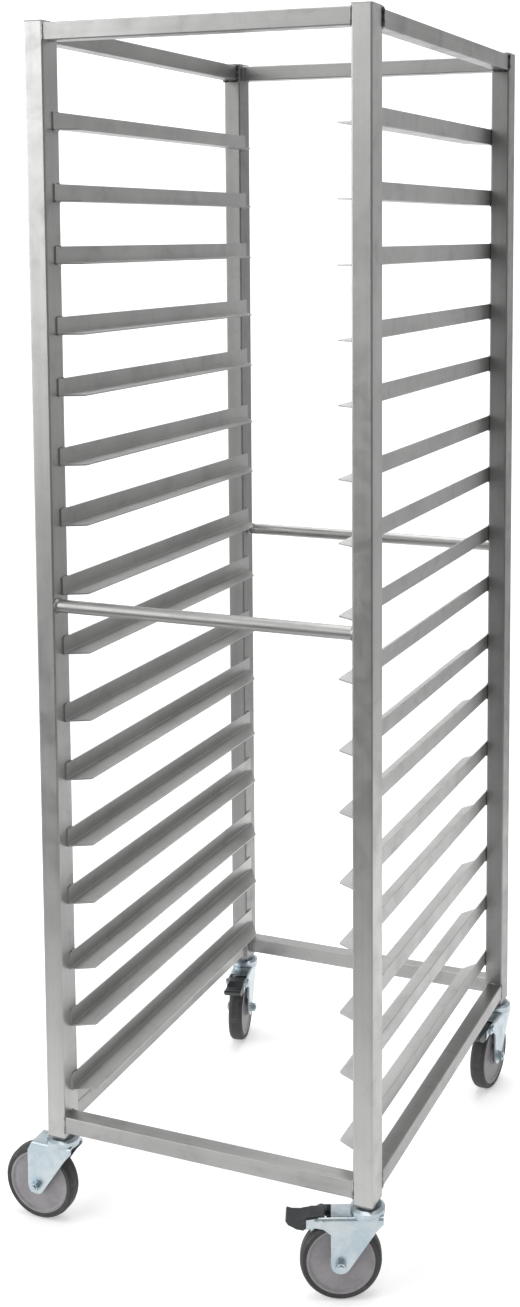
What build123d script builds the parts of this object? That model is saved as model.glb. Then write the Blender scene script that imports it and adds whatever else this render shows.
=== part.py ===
from build123d import *
import os

# Sheet pan rack. Millimetres, +Z up, front towards -Y.
# Origin: on the floor, under the centre of the frame.

# ---- frame ----
FRAME_W = 524.0
FRAME_D = 686.0
POST_W = 30.0            # across the front
POST_D = 40.0            # front to back
TUBE_WALL = 1.6
POST_BOTTOM = 144.0
POST_TOP = 1794.0
POST_CORNER_R = 2.5

RAIL = 25.4
RAIL_CORNER_R = 2.0
TOP_RAIL_TOP = 1792.0
BOTTOM_RAIL_UNDERSIDE = 152.0
MID_TUBE_R = 9.5
MID_TUBE_Z = 957.0
MID_TUBE_SETBACK = 12.0  # tube centre behind the outer post face

CAP_PLATE = 2.0
CAP_EDGE_R = 1.2
CAP_PLUG_DEPTH = 12.0
CAP_PLUG_GAP = 1.0       # between the plug and the tube wall, each side
PLUG_CLEARANCE = 0.05

# ---- pan runners ----
LEVELS = 16
TOP_REST_Z = 1646.0      # top face of the highest flange
BIG_GAP = 101.6
SMALL_GAP = 88.9
LEG = 25.4
FLANGE = 35.0
ANGLE_T = 2.0
RUNNER_SETBACK = 22.0    # runner end behind the outer post face
FRONT_TAPER = 17.0       # length of the cut corner along the flange
REAR_TAPER = 50.0
ANGLE_OUTER_R = 2.4
ANGLE_INNER_R = 1.2
CORNER_SOFTEN = 5.0

# ---- casters, in a local frame: swivel axis on Z, wheel trails along +X ----
WHEEL_R = 58.0
WHEEL_W = 25.0
RIM_R = 48.5
TRAIL = 38.0
HUB_R = 15.0
HUB_W = 28.0
WEB_T = 20.0
SLEEVE_R = 6.0
AXLE_R = 4.0
SHAFT_CLEARANCE = 0.05
FORK_T = 3.0
FORK_INNER = 16.0        # half the gap between the fork legs
FORK_OUTER = FORK_INNER + FORK_T
FORK_TOP = 127.0
HEAD_R = 24.0
BOSS_R = 14.0
STEM_R = 6.0
BALL_R = 3.0
BALL_RING_R = 16.5
BALL_COUNT = 14
BALL_Z = 129.7
PIN_X = 66.0
PIN_Z = 120.0
PIN_R = 3.0
LEVER_HALF_W = 15.7
LEVER_T = 2.5

# corner name: (side of X, side of Y, trail direction in degrees, has a brake)
CASTERS = {
    "front_left": (-1, -1, 180.5, False),
    "front_right": (1, -1, 202.0, True),
    "rear_left": (-1, 1, 284.0, True),
    "rear_right": (1, 1, 265.0, True),
}

HALF_W = FRAME_W / 2
HALF_D = FRAME_D / 2
POST_X = HALF_W - POST_W / 2
POST_Y = HALF_D - POST_D / 2
INNER_X = HALF_W - POST_W
INNER_Y = HALF_D - POST_D


def save(part, name):
    part.label = name
    export_step(part, f"parts/{name}.step")


# ---------------------------------------------------------------- frame tubes
def tube(size_a, size_b, length, corner_r):
    """Rectangular tube from Z=0 up, centred on the Z axis."""
    with BuildPart() as body:
        with BuildSketch():
            RectangleRounded(size_a, size_b, corner_r)
            RectangleRounded(
                size_a - 2 * TUBE_WALL,
                size_b - 2 * TUBE_WALL,
                corner_r - TUBE_WALL / 2,
                mode=Mode.SUBTRACT,
            )
        extrude(amount=length)
    return body.part


def make_posts():
    post = tube(POST_W, POST_D, POST_TOP - POST_BOTTOM, POST_CORNER_R)
    for corner, (side_x, side_y, _, _) in CASTERS.items():
        place = Location((side_x * POST_X, side_y * POST_Y, POST_BOTTOM))
        save(post.moved(place), f"post_{corner}")


def make_caps():
    with BuildPart() as caps:
        with Locations(*[(sx * POST_X, sy * POST_Y, POST_TOP) for sx, sy, _, _ in CASTERS.values()]):
            Box(POST_W, POST_D, CAP_PLATE, align=(Align.CENTER, Align.CENTER, Align.MIN))
            Box(
                POST_W - 2 * (TUBE_WALL + CAP_PLUG_GAP),
                POST_D - 2 * (TUBE_WALL + CAP_PLUG_GAP),
                CAP_PLUG_DEPTH,
                align=(Align.CENTER, Align.CENTER, Align.MAX),
            )
        top_edges = caps.edges().group_by(Axis.Z)[-1]
        fillet(top_edges, CAP_EDGE_R)
    save(caps.part, "post_caps")


def make_square_rails():
    across = tube(RAIL, RAIL, 2 * INNER_X, RAIL_CORNER_R)
    along = tube(RAIL, RAIL, 2 * INNER_Y, RAIL_CORNER_R)
    rail_y = HALF_D - RAIL / 2
    rail_x = HALF_W - RAIL / 2
    heights = {
        "top": TOP_RAIL_TOP - RAIL / 2,
        "bottom": BOTTOM_RAIL_UNDERSIDE + RAIL / 2,
    }
    for level, z in heights.items():
        for end, side in (("front", -1), ("rear", 1)):
            place = Location((-INNER_X, side * rail_y, z), (0, 90, 0))
            save(across.moved(place), f"{level}_rail_{end}")
        for end, side in (("left", -1), ("right", 1)):
            place = Location((side * rail_x, INNER_Y, z), (90, 0, 0))
            save(along.moved(place), f"{level}_rail_{end}")


def make_mid_tubes():
    with BuildPart() as mid:
        with BuildSketch(Plane.YZ.offset(-INNER_X)):
            Circle(MID_TUBE_R)
            Circle(MID_TUBE_R - TUBE_WALL, mode=Mode.SUBTRACT)
        extrude(amount=2 * INNER_X)
    for end, side in (("front", -1), ("rear", 1)):
        place = Location((0, side * (HALF_D - MID_TUBE_SETBACK), MID_TUBE_Z))
        save(mid.part.moved(place), f"mid_tube_{end}")


# ---------------------------------------------------------------- pan runners
def make_left_runner():
    """Left angle with its flange top at Z=0."""
    half_length = HALF_D - RUNNER_SETBACK
    with BuildPart() as runner:
        with BuildSketch(Plane.XZ.offset(half_length)):
            with BuildLine():
                Polyline(
                    (-INNER_X, LEG - ANGLE_T),
                    (-INNER_X, -ANGLE_T),
                    (-INNER_X + FLANGE, -ANGLE_T),
                    (-INNER_X + FLANGE, 0),
                    (-INNER_X + ANGLE_T, 0),
                    (-INNER_X + ANGLE_T, LEG - ANGLE_T),
                    close=True,
                )
            make_face()
        extrude(amount=-2 * half_length)
        long_edges = runner.edges().filter_by(Axis.Y)
        fillet(long_edges.group_by(Axis.Z)[0].sort_by(Axis.X)[0], ANGLE_OUTER_R)
        inner = runner.edges().filter_by(Axis.Y).filter_by_position(Axis.Z, -0.01, 0.01)
        fillet(inner.sort_by(Axis.X)[0], ANGLE_INNER_R)
        with BuildSketch(Plane.XY.offset(-ANGLE_T)):
            for side, taper in ((-1, FRONT_TAPER), (1, REAR_TAPER)):
                with BuildLine():
                    Polyline(
                        (-INNER_X + ANGLE_T + 1, side * half_length),
                        (-INNER_X + FLANGE, side * (half_length - taper)),
                        (-INNER_X + FLANGE, side * half_length),
                        close=True,
                    )
                make_face()
        extrude(amount=ANGLE_T, mode=Mode.SUBTRACT)
        corners = runner.edges().filter_by(Axis.Z).filter_by_position(
            Axis.X, -INNER_X + FLANGE - 0.01, -INNER_X + FLANGE + 0.01
        )
        fillet(corners, CORNER_SOFTEN)
    return runner.part


def rest_heights():
    heights = [TOP_REST_Z]
    for gap in range(LEVELS - 1):
        heights.append(heights[-1] - (BIG_GAP if gap % 2 == 0 else SMALL_GAP))
    return heights


def make_runners():
    left = make_left_runner()
    right = left.mirror(Plane.YZ)
    for number, z in enumerate(rest_heights(), start=1):
        pair = Compound(children=[left.moved(Location((0, 0, z))), right.moved(Location((0, 0, z)))])
        save(pair, f"runner_pair_{number:02d}")


# ------------------------------------------------------- caster parts, fixed
def make_socket():
    """Block inside the post foot that the threaded stem screws into."""
    flange_t = 2.0
    plug_h = 46.0
    plug_w = POST_W - 2 * TUBE_WALL - 2 * PLUG_CLEARANCE
    plug_d = POST_D - 2 * TUBE_WALL - 2 * PLUG_CLEARANCE
    with BuildPart() as socket:
        with BuildSketch(Plane.XY.offset(POST_BOTTOM - flange_t)):
            RectangleRounded(POST_W, POST_D, POST_CORNER_R)
        extrude(amount=flange_t)
        with BuildSketch(Plane.XY.offset(POST_BOTTOM)):
            RectangleRounded(plug_w, plug_d, POST_CORNER_R)
        extrude(amount=plug_h)
        with BuildSketch(Plane.XY.offset(POST_BOTTOM - flange_t)):
            Circle(STEM_R)
        extrude(amount=plug_h + flange_t, mode=Mode.SUBTRACT)
    return socket.part


def make_stem():
    """Threaded stem, lock nut, upper race cup and the riveted lower end."""
    cup_top = 137.0
    nut_top = 142.0
    stem_top = 188.0
    rivet_bottom = 117.8
    rivet_top = 123.9
    lip_bottom = 127.6
    with BuildPart() as stem:
        with BuildSketch(Plane.XY.offset(rivet_top)):
            Circle(STEM_R)
        extrude(amount=stem_top - rivet_top)
        with BuildSketch(Plane.XY.offset(rivet_bottom)):
            Circle(9.0)
        extrude(amount=rivet_top - rivet_bottom)
        with BuildSketch(Plane.XZ):
            with BuildLine():
                Polyline(
                    (0, cup_top),
                    (20.0, cup_top),
                    (24.6, cup_top - 3.2),
                    (24.6, lip_bottom),
                    (22.4, lip_bottom),
                    (22.4, cup_top - 4.0),
                    (11.0, cup_top - 4.0),
                    (10.0, lip_bottom + 0.6),
                    (0, lip_bottom + 0.6),
                    close=True,
                )
            make_face()
        revolve(axis=Axis.Z)
        with BuildSketch(Plane.XY.offset(cup_top)):
            RegularPolygon(11.0, 6, major_radius=False)
        extrude(amount=nut_top - cup_top)
        bottom_rim = stem.edges().group_by(Axis.Z)[0]
        fillet(bottom_rim, 2.5)
    return stem.part


def make_balls():
    with BuildPart() as balls:
        with Locations((0, 0, BALL_Z)):
            with PolarLocations(BALL_RING_R, BALL_COUNT):
                Sphere(BALL_R)
    return balls.part


# ------------------------------------------------------ caster parts, moving
def leg_outline(braked):
    """Fork side view. The braked fork has an ear behind for the pedal pin."""
    back = TRAIL + BOSS_R
    outline = [(-22.0, FORK_TOP), (-22.0, 117.0), (-12.0, 106.0)]
    outline += [(TRAIL - BOSS_R * 0.83, WHEEL_R - BOSS_R * 0.56), (back, WHEEL_R)]
    if braked:
        outline += [(back, 102.0), (62.0, 110.5), (74.5, 113.0), (75.0, 122.0), (68.0, FORK_TOP)]
    else:
        outline += [(back, 112.0), (back - 8.0, FORK_TOP)]
    return outline


def make_fork(braked):
    back_limit = 80.0
    front_limit = -30.0
    with BuildPart() as fork:
        with BuildSketch(Plane.YZ.offset(front_limit)):
            with Locations((0, FORK_TOP / 2)):
                Rectangle(2 * FORK_OUTER, FORK_TOP)
            with Locations((0, (FORK_TOP - FORK_T) / 2)):
                Rectangle(2 * FORK_INNER, FORK_TOP - FORK_T, mode=Mode.SUBTRACT)
        extrude(amount=back_limit - front_limit)
        bends = fork.edges().filter_by(Axis.X).group_by(Axis.Z)
        fillet(bends[-1], 5.0)
        inner_bends = fork.edges().filter_by(Axis.X).filter_by_position(
            Axis.Z, FORK_TOP - FORK_T - 0.01, FORK_TOP - FORK_T + 0.01
        )
        fillet(inner_bends, 2.0)
        with BuildSketch(Plane.XZ.offset(FORK_OUTER)):
            with BuildLine():
                Polyline(*leg_outline(braked), close=True)
            make_face()
            with Locations((TRAIL, WHEEL_R)):
                Circle(BOSS_R)
        extrude(amount=-2 * FORK_OUTER, mode=Mode.INTERSECT)
        with BuildSketch(Plane.XY.offset(FORK_TOP - FORK_T)):
            Circle(HEAD_R)
        extrude(amount=FORK_T)
        if braked:
            with Locations((TRAIL + BOSS_R + 15.0, 0, FORK_TOP)):
                Box(30.0, 2 * FORK_INNER, 60.0, mode=Mode.SUBTRACT)
            with Locations((PIN_X, 0, PIN_Z)):
                Cylinder(PIN_R, 2 * FORK_OUTER, rotation=(90, 0, 0), mode=Mode.SUBTRACT)
        with Locations((0, 0, FORK_TOP)):
            Cylinder(STEM_R + SHAFT_CLEARANCE, 4 * FORK_T, mode=Mode.SUBTRACT)
        with Locations((TRAIL, 0, WHEEL_R)):
            Cylinder(AXLE_R, 2 * FORK_OUTER, rotation=(90, 0, 0), mode=Mode.SUBTRACT)
        with Locations((0, 0, BALL_Z)):
            Torus(BALL_RING_R, BALL_R + SHAFT_CLEARANCE, mode=Mode.SUBTRACT)
    return fork.part


def make_axle():
    """Hex bolt, lock nut and the spacer sleeve the wheel turns on."""
    head_t = 5.3
    nut_t = 7.0
    washer_t = 1.4
    with BuildPart() as bolt:
        with BuildSketch(Plane.XZ.offset(FORK_OUTER + head_t)):
            RegularPolygon(6.5, 6, major_radius=False)
        extrude(amount=-head_t)
        with BuildSketch(Plane.XZ.offset(FORK_OUTER)):
            Circle(AXLE_R)
        extrude(amount=-(2 * FORK_OUTER + nut_t + washer_t + 2.0))
    with BuildPart() as nut:
        with BuildSketch(Plane.XZ.offset(-FORK_OUTER)):
            Circle(8.2)
            Circle(AXLE_R, mode=Mode.SUBTRACT)
        extrude(amount=-washer_t)
        with BuildSketch(Plane.XZ.offset(-FORK_OUTER - washer_t)):
            RegularPolygon(6.5, 6, major_radius=False)
            Circle(AXLE_R, mode=Mode.SUBTRACT)
        extrude(amount=-nut_t)
    with BuildPart() as sleeve:
        with BuildSketch(Plane.XZ.offset(FORK_INNER)):
            Circle(SLEEVE_R)
            Circle(AXLE_R, mode=Mode.SUBTRACT)
        extrude(amount=-2 * FORK_INNER)
    at_axle = Location((TRAIL, 0, WHEEL_R))
    return [piece.part.moved(at_axle) for piece in (bolt, nut, sleeve)]


def make_wheel_core():
    half = WHEEL_W / 2
    with BuildPart() as core:
        with BuildSketch(Plane.XY):
            with BuildLine():
                Polyline(
                    (SLEEVE_R + SHAFT_CLEARANCE, -HUB_W / 2),
                    (HUB_R, -HUB_W / 2),
                    (HUB_R + 1.5, -WEB_T / 2),
                    (RIM_R - 6.0, -WEB_T / 2),
                    (RIM_R - 3.0, -half + 0.8),
                    (RIM_R, -half + 0.8),
                    (RIM_R, half - 0.8),
                    (RIM_R - 3.0, half - 0.8),
                    (RIM_R - 6.0, WEB_T / 2),
                    (HUB_R + 1.5, WEB_T / 2),
                    (HUB_R, HUB_W / 2),
                    (SLEEVE_R + SHAFT_CLEARANCE, HUB_W / 2),
                    close=True,
                )
            make_face()
        revolve(axis=Axis.Y)
    return core.part.moved(Location((TRAIL, 0, WHEEL_R)))


def make_tyre():
    half = WHEEL_W / 2
    shoulder = 4.0
    with BuildPart() as tyre:
        with BuildSketch(Plane.XY):
            with BuildLine():
                Polyline(
                    (RIM_R, -half + 1.0),
                    (WHEEL_R - shoulder, -half),
                    (WHEEL_R - 1.2, -half + shoulder * 0.7),
                    (WHEEL_R, -half + shoulder * 1.6),
                    (WHEEL_R, half - shoulder * 1.6),
                    (WHEEL_R - 1.2, half - shoulder * 0.7),
                    (WHEEL_R - shoulder, half),
                    (RIM_R, half - 1.0),
                    close=True,
                )
            make_face()
        revolve(axis=Axis.Y)
    return tyre.part.moved(Location((TRAIL, 0, WHEEL_R)))


def make_lever():
    """Pressed steel brake lever: two arms, a web and the shoe over the tread."""
    arm_outline = [
        (58.0, 122.5),
        (63.0, 125.0),
        (70.0, 125.0),
        (86.0, 122.5),
        (86.5, 108.5),
        (80.0, 109.5),
        (66.0, 114.5),
        (58.0, 119.0),
    ]
    shoe_gap = 4.8
    with BuildPart() as lever:
        with BuildSketch(Plane.XZ.offset(LEVER_HALF_W)):
            with BuildLine():
                Polyline(*arm_outline, close=True)
            make_face()
        extrude(amount=-2 * LEVER_HALF_W)
        with Locations((72.0, 0, 118.0)):
            Box(60.0, 2 * (LEVER_HALF_W - LEVER_T), 60.0, mode=Mode.SUBTRACT)
        with BuildSketch(Plane.XZ.offset(LEVER_HALF_W - LEVER_T)):
            with BuildLine():
                Polyline((72.0, 121.5), (86.0, 121.5), (86.0, 119.0), (80.5, 119.0),
                         (80.5, 102.0), (73.0, 102.0), (73.0, 119.0), (72.0, 119.0), close=True)
            make_face()
        extrude(amount=-2 * (LEVER_HALF_W - LEVER_T))
        with Locations((TRAIL, 0, WHEEL_R)):
            Cylinder(WHEEL_R + shoe_gap, 60.0, rotation=(90, 0, 0), mode=Mode.SUBTRACT)
        with Locations((PIN_X, 0, PIN_Z)):
            Cylinder(PIN_R + SHAFT_CLEARANCE, 60.0, rotation=(90, 0, 0), mode=Mode.SUBTRACT)
    return lever.part


def make_pedal():
    """Moulded pad between the lever arms, ending in a wider down-turned toe."""
    pad_half_w = 13.0
    root_half_w = 14.0
    toe_half_w = 15.5
    with BuildPart() as pedal:
        with BuildSketch(Plane.XZ.offset(toe_half_w)):
            with BuildLine():
                Polyline(
                    (86.6, 124.5),
                    (95.0, 122.5),
                    (108.0, 122.5),
                    (114.5, 124.5),
                    (116.0, 122.0),
                    (112.0, 115.5),
                    (100.0, 108.5),
                    (91.0, 106.5),
                    (86.6, 109.0),
                    close=True,
                )
            make_face()
        extrude(amount=-2 * toe_half_w)
        with BuildSketch(Plane.XY.offset(100.0)):
            with BuildLine():
                Polyline(
                    (86.0, -root_half_w),
                    (100.0, -root_half_w - 0.5),
                    (117.0, -toe_half_w),
                    (117.0, toe_half_w),
                    (100.0, root_half_w + 0.5),
                    (86.0, root_half_w),
                    close=True,
                )
            make_face()
        extrude(amount=30.0, mode=Mode.INTERSECT)
        fillet(pedal.edges().filter_by(Axis.Y).sort_by(Axis.X)[-1], 1.0)
        with BuildSketch(Plane.XZ.offset(pad_half_w)):
            with BuildLine():
                Polyline(
                    (60.5, 123.4),
                    (61.5, 126.0),
                    (80.0, 126.6),
                    (88.0, 124.2),
                    (88.0, 121.7),
                    (71.0, 121.7),
                    (71.0, 123.4),
                    close=True,
                )
            make_face()
        extrude(amount=-2 * pad_half_w)
    return pedal.part


def make_pedal_pin():
    head_t = 2.2
    with BuildPart() as pin:
        with BuildSketch(Plane.XZ.offset(FORK_OUTER)):
            Circle(PIN_R)
        extrude(amount=-2 * FORK_OUTER)
        for side in (-1, 1):
            with BuildSketch(Plane.XZ.offset(side * FORK_OUTER)):
                Circle(5.0)
            extrude(amount=side * head_t)
    return pin.part.moved(Location((PIN_X, 0, PIN_Z)))


def make_casters():
    fixed = {"caster_sockets": [], "caster_stems": [], "caster_balls": []}
    for corner, (side_x, side_y, turn, braked) in CASTERS.items():
        upright = Location((side_x * POST_X, side_y * POST_Y, 0))
        turned = Location((side_x * POST_X, side_y * POST_Y, 0), (0, 0, turn))
        fixed["caster_sockets"].append(make_socket().moved(upright))
        fixed["caster_stems"].append(make_stem().moved(upright))
        fixed["caster_balls"] += [ball.moved(upright) for ball in make_balls().solids()]
        save(make_fork(braked).moved(turned), f"caster_fork_{corner}")
        axle = Compound(children=[piece.moved(turned) for piece in make_axle()])
        save(axle, f"caster_axle_{corner}")
        save(make_wheel_core().moved(turned), f"wheel_core_{corner}")
        save(make_tyre().moved(turned), f"tyre_{corner}")
        if braked:
            save(make_lever().moved(turned), f"brake_lever_{corner}")
            save(make_pedal().moved(turned), f"brake_pedal_{corner}")
            save(make_pedal_pin().moved(turned), f"pedal_pin_{corner}")
    for name, pieces in fixed.items():
        save(Compound(children=pieces), name)


os.makedirs("parts", exist_ok=True)
make_posts()
make_caps()
make_square_rails()
make_mid_tubes()
make_runners()
make_casters()
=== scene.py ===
import math

import bmesh
import bpy
from mathutils import Matrix, Vector


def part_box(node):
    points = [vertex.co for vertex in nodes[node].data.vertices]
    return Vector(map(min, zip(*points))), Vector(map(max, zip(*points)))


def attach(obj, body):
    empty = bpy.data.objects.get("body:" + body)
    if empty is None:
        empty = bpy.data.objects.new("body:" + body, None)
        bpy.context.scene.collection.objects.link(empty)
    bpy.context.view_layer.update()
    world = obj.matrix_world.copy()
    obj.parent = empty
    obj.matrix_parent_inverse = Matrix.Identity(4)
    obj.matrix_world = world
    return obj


# Looks for the sheet pan rack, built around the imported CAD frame. Metres.

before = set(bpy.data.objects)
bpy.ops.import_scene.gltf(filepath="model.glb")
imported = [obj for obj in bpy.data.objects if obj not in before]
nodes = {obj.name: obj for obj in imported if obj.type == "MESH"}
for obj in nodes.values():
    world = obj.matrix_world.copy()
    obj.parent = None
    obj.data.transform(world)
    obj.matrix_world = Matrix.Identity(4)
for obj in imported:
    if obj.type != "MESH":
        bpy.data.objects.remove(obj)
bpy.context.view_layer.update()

LEVELS = 16              # runner pairs

# Camera, fitted to the rack's posts, rails and runners.
CAMERA_PLACE = (1.0111, -2.3357, 1.4996)
CAMERA_TURN = (21.041, 5.806, -0.073)    # yaw left of +Y, pitch down, roll, in degrees
CAMERA_LENS = 44.555
CAMERA_SHIFT = (-0.0765, -0.1970)


# ------------------------------------------------------------------ node helpers
class Shader:
    """A new material and short ways to add and join its nodes."""

    def __init__(self, name):
        self.material = bpy.data.materials.new(name)
        self.material.use_nodes = True
        self.tree = self.material.node_tree
        self.surface = self.tree.nodes["Principled BSDF"]

    def node(self, kind, inputs=None, **settings):
        made = self.tree.nodes.new("ShaderNode" + kind)
        for key, value in settings.items():
            setattr(made, key, value)
        for key, value in (inputs or {}).items():
            self.feed(made.inputs[key], value)
        return made

    def feed(self, socket, value):
        if isinstance(value, bpy.types.NodeSocket):
            self.tree.links.new(value, socket)
        else:
            socket.default_value = value

    def place(self, scale=(1, 1, 1), turn=(0, 0, 0)):
        coords = self.node("TexCoord")
        mapped = self.node("Mapping", {
            "Vector": coords.outputs["Object"], "Scale": scale, "Rotation": turn,
        })
        return mapped.outputs["Vector"]

    def noise(self, vector, scale, detail=3.0, rough=0.5, distortion=0.0):
        made = self.node("TexNoise", {
            "Vector": vector, "Scale": scale, "Detail": detail,
            "Roughness": rough, "Distortion": distortion,
        })
        return made.outputs["Fac"]

    def spread(self, value, low, high, to_low=0.0, to_high=1.0):
        made = self.node("MapRange", {
            "Value": value, "From Min": low, "From Max": high, "To Min": to_low, "To Max": to_high,
        }, interpolation_type="SMOOTHSTEP")
        return made.outputs["Result"]

    def maths(self, kind, first, second=0.0):
        made = self.node("Math", {0: first, 1: second}, operation=kind)
        return made.outputs["Value"]

    def blend(self, amount, first, second):
        made = self.node("Mix", data_type="RGBA")
        self.feed(made.inputs["Factor"], amount)
        self.feed(made.inputs[6], first)
        self.feed(made.inputs[7], second)
        return made.outputs[2]

    def bump(self, height, strength, distance, normal=None):
        made = self.node("Bump", {"Height": height, "Strength": strength, "Distance": distance})
        if normal is not None:
            self.feed(made.inputs["Normal"], normal)
        return made.outputs["Normal"]

    def finish(self, **inputs):
        for key, value in inputs.items():
            self.feed(self.surface.inputs[key.replace("_", " ")], value)
        return self.material


def grey(level, red=0.0, blue=0.0):
    return (level + red, level, level + blue, 1.0)


def shade(colour, factor):
    return tuple(min(1.0, c * factor) for c in colour[:3]) + (1.0,)


# -------------------------------------------------------------------- materials
def satin_aluminium(name, along, dark, light, rough):
    """Mill-finish aluminium. along is the axis the drawing lines run on."""
    shader = Shader(name)
    fine = [900.0, 900.0, 900.0]
    fine["xyz".index(along)] = 5.0
    wide = [90.0, 90.0, 90.0]
    wide["xyz".index(along)] = 1.5
    flat = shader.place()
    lines = shader.noise(shader.place(fine), 1.0, 4.0, 0.6)
    bands = shader.noise(shader.place(wide), 1.0, 2.0, 0.5)
    clouds = shader.noise(flat, 4.0, 4.0, 0.6)
    smudge = shader.noise(flat, 24.0, 5.0, 0.65, 0.6)
    specks = shader.noise(flat, 700.0, 2.0, 0.5)
    scratch_a = shader.noise(shader.place((60, 420, 35), (0.4, 0.7, 0.2)), 1.0, 1.0)
    scratch_b = shader.noise(shader.place((420, 50, 30), (0.9, -0.5, 0.6)), 1.0, 1.0)
    lines_part = shader.spread(lines, 0.25, 0.75)
    scratched = shader.maths(
        "MAXIMUM", shader.spread(scratch_a, 0.73, 0.78), shader.spread(scratch_b, 0.74, 0.79)
    )
    cloud_part = shader.maths("MULTIPLY", shader.spread(clouds, 0.3, 0.7), 0.55)
    band_part = shader.maths("MULTIPLY", shader.spread(bands, 0.3, 0.7), 0.25)
    tone = shader.maths("ADD", cloud_part, band_part)
    tone = shader.maths("ADD", tone, shader.maths("MULTIPLY", lines_part, 0.20))
    colour = shader.blend(tone, dark, light)
    smudge_part = shader.maths("MULTIPLY", shader.spread(smudge, 0.52, 0.78), 0.30)
    colour = shader.blend(smudge_part, colour, shade(dark, 0.72))
    colour = shader.blend(shader.maths("MULTIPLY", scratched, 0.16), colour, shade(light, 1.12))
    roughness = shader.maths(
        "ADD",
        shader.spread(smudge, 0.3, 0.75, rough - 0.05, rough + 0.09),
        shader.maths("MULTIPLY", lines_part, 0.05),
    )
    normal = shader.bump(lines, 0.14, 0.0003)
    normal = shader.bump(scratched, 0.10, 0.0002, normal)
    normal = shader.bump(specks, 0.05, 0.0002, normal)
    return shader.finish(Base_Color=colour, Roughness=roughness, Metallic=1.0, Normal=normal)


def weld_metal(name, dark, light, rough):
    """Cast-looking weld bead with soot settled in its hollows."""
    shader = Shader(name)
    flat = shader.place()
    soot = shader.noise(flat, 110.0, 5.0, 0.65)
    grain = shader.noise(flat, 1300.0, 3.0, 0.6)
    heat = shader.noise(flat, 45.0, 3.0, 0.5)
    colour = shader.blend(shader.spread(soot, 0.35, 0.65), light, dark)
    heat_part = shader.maths("MULTIPLY", shader.spread(heat, 0.45, 0.7), 0.25)
    colour = shader.blend(heat_part, colour, shade(dark, 0.8))
    roughness = shader.spread(soot, 0.3, 0.7, rough - 0.06, rough + 0.10)
    normal = shader.bump(grain, 0.18, 0.0003)
    return shader.finish(Base_Color=colour, Roughness=roughness, Metallic=1.0, Normal=normal)


def zinc_plate(name):
    """Bright zinc over pressed steel: bluish, faintly mottled and rubbed."""
    shader = Shader(name)
    flat = shader.place()
    hue = shader.noise(flat, 40.0, 3.0, 0.6, 0.8)
    mottle = shader.noise(flat, 420.0, 4.0, 0.65)
    dull = shader.noise(flat, 90.0, 4.0, 0.6)
    rub = shader.noise(shader.place((220, 30, 160), (0.3, 0.5, 0.9)), 1.0, 2.0)
    pits = shader.noise(flat, 1400.0, 2.0, 0.5)
    hue_part = shader.spread(hue, 0.3, 0.7)
    colour = shader.blend(hue_part, (0.42, 0.50, 0.55, 1), (0.54, 0.59, 0.61, 1))
    mottle_part = shader.maths("MULTIPLY", shader.spread(mottle, 0.5, 0.8), 0.18)
    colour = shader.blend(mottle_part, colour, (0.28, 0.33, 0.36, 1))
    rub_part = shader.maths("MULTIPLY", shader.spread(rub, 0.6, 0.78), 0.22)
    colour = shader.blend(rub_part, colour, (0.68, 0.71, 0.73, 1))
    roughness = shader.spread(dull, 0.3, 0.7, 0.26, 0.40)
    normal = shader.bump(mottle, 0.06, 0.0003)
    normal = shader.bump(pits, 0.05, 0.0002, normal)
    return shader.finish(Base_Color=colour, Roughness=roughness, Metallic=1.0, Normal=normal)


def dark_steel(name):
    shader = Shader(name)
    flat = shader.place()
    stain = shader.noise(flat, 120.0, 4.0, 0.6)
    grain = shader.noise(flat, 900.0, 3.0, 0.6)
    colour = shader.blend(shader.spread(stain, 0.35, 0.65), grey(0.16), grey(0.28, 0.01))
    roughness = shader.spread(stain, 0.3, 0.7, 0.40, 0.58)
    return shader.finish(Base_Color=colour, Roughness=roughness, Metallic=1.0,
                         Normal=shader.bump(grain, 0.2, 0.0002))


def ball_steel(name):
    shader = Shader(name)
    grease = shader.noise(shader.place(), 500.0, 3.0, 0.6)
    colour = shader.blend(shader.spread(grease, 0.45, 0.7), grey(0.72), (0.30, 0.27, 0.22, 1))
    roughness = shader.spread(grease, 0.4, 0.7, 0.12, 0.40)
    return shader.finish(Base_Color=colour, Roughness=roughness, Metallic=1.0)


def moulded(name, dark, light, rough, grain_scale, grain_strength, dust):
    """Moulded plastic or rubber with grain, handling marks and settled dust."""
    shader = Shader(name)
    flat = shader.place()
    clouds = shader.noise(flat, 30.0, 4.0, 0.6)
    grain = shader.noise(flat, grain_scale, 3.0, 0.6)
    marks = shader.noise(shader.place((300, 60, 90), (0.6, 0.2, 1.1)), 1.0, 2.0)
    settle = shader.noise(flat, 75.0, 6.0, 0.7, 0.5)
    colour = shader.blend(shader.spread(clouds, 0.3, 0.7), dark, light)
    dust_part = shader.maths("MULTIPLY", shader.spread(settle, 0.5, 0.8), 0.35)
    colour = shader.blend(dust_part, colour, dust)
    mark_part = shader.maths("MULTIPLY", shader.spread(marks, 0.66, 0.74), 0.25)
    colour = shader.blend(mark_part, colour, dust)
    roughness = shader.spread(clouds, 0.3, 0.7, rough - 0.08, rough + 0.08)
    normal = shader.bump(grain, grain_strength, 0.0004)
    normal = shader.bump(settle, 0.08, 0.0006, normal)
    return shader.finish(Base_Color=colour, Roughness=roughness, Normal=normal)


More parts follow.
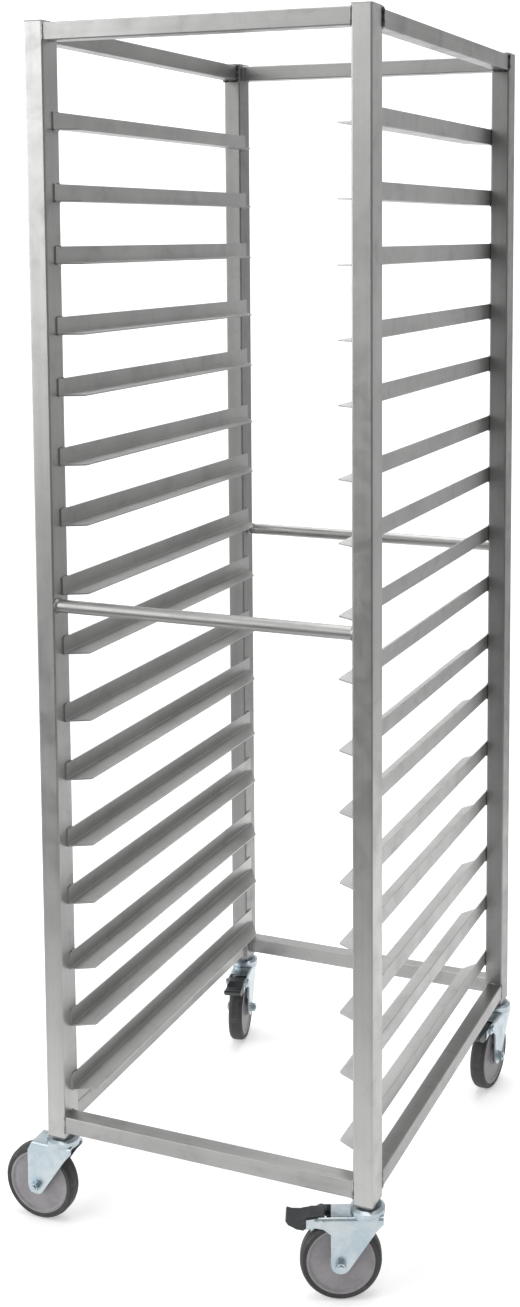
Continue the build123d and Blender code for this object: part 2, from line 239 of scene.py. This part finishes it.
ALU_DARK, ALU_LIGHT = grey(0.40, 0.004, -0.004), grey(0.51, 0.0, -0.006)
# Rail tones sit below the post tones: painted shade on the rails, which are the same aluminium as
# the posts.
RAIL_SHADED_DARK, RAIL_SHADED_LIGHT = grey(0.31, 0.003, -0.003), grey(0.41, 0.0, -0.004)
RUN_DARK, RUN_LIGHT = grey(0.42, -0.004, -0.006), grey(0.52, -0.002, -0.008)
post_metal = satin_aluminium("post_aluminium", "z", ALU_DARK, ALU_LIGHT, 0.32)
# Rear posts: a darker copy of the post aluminium, which is painted shade, as they are the same
# metal as the front posts.
rear_post_shaded_metal = satin_aluminium(
    "rear_post_aluminium_painted_shade", "z", shade(ALU_DARK, 0.62),
    shade(ALU_LIGHT, 0.66), 0.38,
)
# Cross and side rails take the darker rail tones, which are painted shade.
cross_metal = satin_aluminium("cross_aluminium", "x", RAIL_SHADED_DARK, RAIL_SHADED_LIGHT, 0.36)
side_metal = satin_aluminium("side_aluminium", "y", RAIL_SHADED_DARK, RAIL_SHADED_LIGHT, 0.36)
runner_metal = satin_aluminium("runner_aluminium", "y", RUN_DARK, RUN_LIGHT, 0.40)
zinc = zinc_plate("zinc")
steel_dark = dark_steel("socket_steel")
balls_metal = ball_steel("race_balls")
weld_alu = weld_metal("weld_aluminium", grey(0.22), grey(0.50), 0.42)
# Near-black weld colour: painted shadow at the junctions of the top side rails and the posts; the
# beads themselves are real welds.
shadow_weld_metal = weld_metal("painted_shadow_weld", grey(0.035), grey(0.16, 0.01), 0.55)
cap_plastic = moulded("cap_plastic", grey(0.42), grey(0.50, 0.004), 0.5, 1600.0, 0.12, grey(0.58))
wheel_plastic = moulded(
    "wheel_plastic", (0.20, 0.19, 0.20, 1), (0.27, 0.26, 0.27, 1), 0.46,
    1300.0, 0.12, grey(0.40, 0.01, -0.01),
)
tread_rubber = moulded(
    "tread_rubber", grey(0.022), grey(0.040), 0.62,
    1100.0, 0.25, grey(0.15, 0.005, -0.005),
)
pedal_plastic = moulded(
    "pedal_plastic", (0.012, 0.016, 0.018, 1), (0.026, 0.031, 0.034, 1), 0.42,
    1500.0, 0.3, grey(0.10),
)


def dress(node, material):
    mesh_slots = nodes[node].material_slots
    if not mesh_slots:
        nodes[node].data.materials.append(material)
    for mesh_slot in mesh_slots:
        mesh_slot.material = material


for node in nodes:
    if node.startswith("post_caps"):
        dress(node, cap_plastic)
    elif node.startswith("post_"):
        dress(node, rear_post_shaded_metal if "rear" in node else post_metal)
    elif node.startswith("runner_"):
        dress(node, runner_metal)
    elif node.startswith(("top_rail", "bottom_rail", "mid_tube")):
        dress(node, side_metal if node.endswith(("left", "right")) else cross_metal)
    elif node == "caster_sockets":
        dress(node, steel_dark)
    elif node == "caster_balls":
        dress(node, balls_metal)
    elif node.startswith("wheel_core"):
        dress(node, wheel_plastic)
    elif node.startswith("tyre"):
        dress(node, tread_rubber)
    elif node.startswith("brake_pedal"):
        dress(node, pedal_plastic)
    else:
        dress(node, zinc)


# ------------------------------------------------------------------- weld beads
BEAD_SIDES = 8
BEAD_STEP = 0.0013       # spacing of the rings along a bead
RIPPLE = 0.0034          # length of one weld ripple
PHASE_STEP = 0.0007      # shifts the ripples from one bead to the next
RAIL_BEAD = 0.0015       # bead radii
# bead radius at the top side-rail ends, where the near-black beads are painted shadow
SHADOW_WELD_BEAD = 0.0030
TUBE_BEAD = 0.0026
TUBE_TOE_BEAD = 0.0014
TUBE_TOE = 0.0022        # how far along the tube its second bead lies
RUNNER_BEAD = 0.0016
RUNNER_END_GAP = 0.0015  # from a runner bead's end to the edge of the post
CORNER_SOFT = 0.0016     # corner radius of a bead round a square rail
CIRCLE_STEPS = 24


def resample(corners, closed):
    """Points BEAD_STEP apart along a path of corner points."""
    ends = corners + [corners[0]] if closed else corners
    points = []
    for first, second in zip(ends, ends[1:]):
        span = (second - first).length
        count = max(1, round(span / BEAD_STEP))
        points += [first.lerp(second, n / count) for n in range(count)]
    if not closed:
        points.append(ends[-1])
    return points


def bead(mesh, corners, radius, closed, phase):
    """One rippled bead along a path, added to mesh."""
    points = resample(corners, closed)
    count = len(points)
    rings = []
    for index, point in enumerate(points):
        if closed:
            along = points[(index + 1) % count] - points[index - 1]
        else:
            along = points[min(index + 1, count - 1)] - points[max(index - 1, 0)]
        along.normalize()
        helper = Vector((0, 0, 1)) if abs(along.z) < 0.8 else Vector((1, 0, 0))
        side = along.cross(helper).normalized()
        rise = side.cross(along)
        travel = index * BEAD_STEP + phase
        size = radius * (0.86 + 0.16 * abs(math.sin(math.pi * travel / RIPPLE)))
        size *= (
            1.0 + 0.09 * math.sin(travel * 410.0)
            + 0.06 * math.sin(travel * 1130.0 + phase * 90.0)
        )
        if not closed:
            edge = min(index, count - 1 - index) * BEAD_STEP / radius
            size *= min(1.0, 0.35 + 0.65 * edge)
        ring = []
        for step in range(BEAD_SIDES):
            angle = 2 * math.pi * step / BEAD_SIDES
            outward = side * math.cos(angle) + rise * math.sin(angle)
            ring.append(mesh.verts.new(point + outward * size))
        rings.append(ring)
    pairs = list(zip(rings, rings[1:]))
    if closed:
        pairs.append((rings[-1], rings[0]))
    for ring, following in pairs:
        for step in range(BEAD_SIDES):
            nxt = (step + 1) % BEAD_SIDES
            mesh.faces.new((ring[step], ring[nxt], following[nxt], following[step]))
    if not closed:
        mesh.faces.new(rings[0])
        mesh.faces.new(list(reversed(rings[-1])))


def add_beads(name, paths, material):
    """paths holds (corners, radius, closed). All beads of one piece ride on the frame."""
    mesh = bmesh.new()
    for number, (corners, radius, closed) in enumerate(paths):
        bead(mesh, corners, radius, closed, number * PHASE_STEP)
    bmesh.ops.recalc_face_normals(mesh, faces=mesh.faces)
    data = bpy.data.meshes.new(name)
    mesh.to_mesh(data)
    mesh.free()
    data.polygons.foreach_set("use_smooth", [True] * len(data.polygons))
    data.materials.append(material)
    piece = bpy.data.objects.new(name, data)
    bpy.context.scene.collection.objects.link(piece)
    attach(piece, "frame")


def loop_round(low, high, axis, place):
    """Rounded square round a box section, in the plane at place along axis."""
    soft = CORNER_SOFT
    a, b = [n for n in range(3) if n != axis]
    corners = []
    for at_a, at_b, turn in (
        (low[a], low[b], 180), (high[a], low[b], 270), (high[a], high[b], 0), (low[a], high[b], 90)
    ):
        centre_a = at_a + (soft if at_a == low[a] else -soft)
        centre_b = at_b + (soft if at_b == low[b] else -soft)
        for part in (0, 45, 90):
            angle = math.radians(turn + part)
            point = Vector((0, 0, 0))
            point[axis] = place
            point[a] = centre_a + soft * math.cos(angle)
            point[b] = centre_b + soft * math.sin(angle)
            corners.append(point)
    return corners


def circle_round(low, high, place):
    """Circle round a tube that runs along X, at X = place."""
    radius = (high[2] - low[2]) / 2
    centre_y, centre_z = (low[1] + high[1]) / 2, (low[2] + high[2]) / 2
    points = []
    for step in range(CIRCLE_STEPS):
        angle = math.radians(360 / CIRCLE_STEPS * step)
        y = centre_y + radius * math.cos(angle)
        z = centre_z + radius * math.sin(angle)
        points.append(Vector((place, y, z)))
    return points


def add_rail_welds():
    clean, painted_shadow_paths = [], []
    for level in ("top", "bottom"):
        for end in ("front", "rear", "left", "right"):
            low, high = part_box(f"{level}_rail_{end}")
            axis = 1 if end in ("left", "right") else 0
            # The top side-rail ends get near-black beads: painted shadow at the junction of rail
            # and post.
            dark = level == "top" and axis == 1
            for place in (low[axis], high[axis]):
                path = loop_round(low, high, axis, place)
                if dark:
                    painted_shadow_paths.append((path, SHADOW_WELD_BEAD, True))
                else:
                    clean.append((path, RAIL_BEAD, True))
    for end in ("front", "rear"):
        low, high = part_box(f"mid_tube_{end}")
        for place, inward in ((low[0], 1), (high[0], -1)):
            toe = place + inward * TUBE_TOE
            clean.append((circle_round(low, high, place), TUBE_BEAD, True))
            clean.append((circle_round(low, high, toe), TUBE_TOE_BEAD, True))
    add_beads("rail_welds", clean, weld_alu)
    add_beads("painted_shadow_welds", painted_shadow_paths, shadow_weld_metal)


def add_runner_welds():
    """Two short beads at each runner end: along the leg's top edge and under the flange."""
    paths = []
    for number in range(1, LEVELS + 1):
        low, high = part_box(f"runner_pair_{number:02d}")
        for end in ("front", "rear"):
            for side_name, wall, inward in (("left", low[0], 1), ("right", high[0], -1)):
                post_low, post_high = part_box(f"post_{end}_{side_name}")
                start = max(low[1], post_low[1]) + RUNNER_END_GAP
                stop = min(high[1], post_high[1]) - RUNNER_END_GAP
                for z, offset in ((high[2], 0.0006), (low[2], 0.0010)):
                    x = wall + inward * offset
                    line = [Vector((x, start, z)), Vector((x, stop, z))]
                    paths.append((line, RUNNER_BEAD, False))
    add_beads("runner_welds", paths, weld_alu)


add_rail_welds()
add_runner_welds()


# ------------------------------------------------------------------------ stage
FLOOR_SIDES = 96
FLOOR_REACH = 2.9        # radius of the floor disc
FLOOR_SOLID = 0.75       # inside this radius the floor is fully there
FLOOR_CENTRE = (-0.02, 0.50)


def make_floor():
    """A pale floor disc that fades out into the studio backdrop."""
    mesh = bmesh.new()
    bmesh.ops.create_circle(mesh, cap_ends=True, segments=FLOOR_SIDES, radius=FLOOR_REACH)
    data = bpy.data.meshes.new("floor")
    mesh.to_mesh(data)
    mesh.free()
    floor = bpy.data.objects.new("floor", data)
    floor.location = (*FLOOR_CENTRE, 0)
    bpy.context.scene.collection.objects.link(floor)
    shader = Shader("floor_paint")
    flat = shader.place()
    tone = shader.noise(flat, 0.6, 2.0)
    colour = shader.blend(tone, grey(0.88), grey(0.91))
    away = shader.node("VectorMath", {0: flat}, operation="LENGTH").outputs["Value"]
    shader.finish(
        Base_Color=colour,
        Roughness=0.9,
        Emission_Color=grey(1.0),
        Emission_Strength=0.35,
        Alpha=shader.spread(away, FLOOR_SOLID, FLOOR_REACH - 0.1, 1.0, 0.0),
    )
    data.materials.append(shader.material)


def make_world():
    world = bpy.data.worlds.new("studio")
    bpy.context.scene.world = world
    world.use_nodes = True
    tree = world.node_tree
    back = tree.nodes["Background"]
    back.inputs["Color"].default_value = (1, 1, 1, 1)
    coords = tree.nodes.new("ShaderNodeTexCoord")

    def lobe(direction, start, end, strength, least=0.0):
        """Light that grows by strength as the ray comes from start to end degrees off direction."""
        dot = tree.nodes.new("ShaderNodeVectorMath")
        dot.operation = "DOT_PRODUCT"
        tree.links.new(coords.outputs["Generated"], dot.inputs[0])
        dot.inputs[1].default_value = Vector(direction).normalized()
        ramp = tree.nodes.new("ShaderNodeMapRange")
        ramp.interpolation_type = "SMOOTHSTEP"
        ramp.inputs["From Min"].default_value = math.cos(math.radians(start))
        ramp.inputs["From Max"].default_value = math.cos(math.radians(end))
        ramp.inputs["To Min"].default_value = least
        ramp.inputs["To Max"].default_value = least + strength
        tree.links.new(dot.outputs["Value"], ramp.inputs["Value"])
        return ramp.outputs["Result"]

    total = None
    for part in (
        lobe((0, 0, 1), 120, 0, 0.40, 0.20),
        lobe((-0.44, 0.87, -0.21), 44, 29, 1.00),
        lobe((0.45, 0.86, -0.15), 48, 12, 0.30),
        lobe((-0.775, -0.565, 0.285), 37, 14, 2.90),
    ):
        if total is None:
            total = part
            continue
        joined = tree.nodes.new("ShaderNodeMath")
        joined.operation = "ADD"
        tree.links.new(total, joined.inputs[0])
        tree.links.new(part, joined.inputs[1])
        total = joined.outputs["Value"]
    tree.links.new(total, back.inputs["Strength"])


def soft_box(name, place, target, size, power):
    data = bpy.data.lights.new(name, "AREA")
    data.shape = "RECTANGLE"
    data.size, data.size_y = size
    data.energy = power
    lamp = bpy.data.objects.new(name, data)
    lamp.location = place
    lamp.rotation_mode = "QUATERNION"
    lamp.rotation_quaternion = (Vector(target) - Vector(place)).to_track_quat("-Z", "Y")
    bpy.context.scene.collection.objects.link(lamp)


def make_camera():
    yaw, pitch, roll = (math.radians(a) for a in CAMERA_TURN)
    level = Vector((-math.sin(yaw), math.cos(yaw), 0))
    forward = level * math.cos(pitch) - Vector((0, 0, math.sin(pitch)))
    right = Vector((math.cos(yaw), math.sin(yaw), 0))
    up = right.cross(forward)
    tilted_right = right * math.cos(roll) + up * math.sin(roll)
    tilted_up = up * math.cos(roll) - right * math.sin(roll)
    data = bpy.data.cameras.new("camera")
    data.sensor_width = 36.0
    data.lens = CAMERA_LENS
    data.shift_x, data.shift_y = CAMERA_SHIFT
    camera = bpy.data.objects.new("camera", data)
    axes = Matrix((tilted_right, tilted_up, -forward)).transposed().to_4x4()
    camera.matrix_world = Matrix.Translation(CAMERA_PLACE) @ axes
    bpy.context.scene.collection.objects.link(camera)
    bpy.context.scene.camera = camera


make_floor()
make_world()
soft_box("top_light", (0.0, 0.0, 4.2), (0, 0, 0), (2.6, 3.0), 60)
soft_box("back_light", (-1.0, 2.6, 4.4), (-1.0, 1.6, 0), (3.0, 3.0), 60)
make_camera()
bpy.context.scene.view_settings.view_transform = "Standard"

# ------------------------------------------------------------------------- update
bpy.context.view_layer.update()
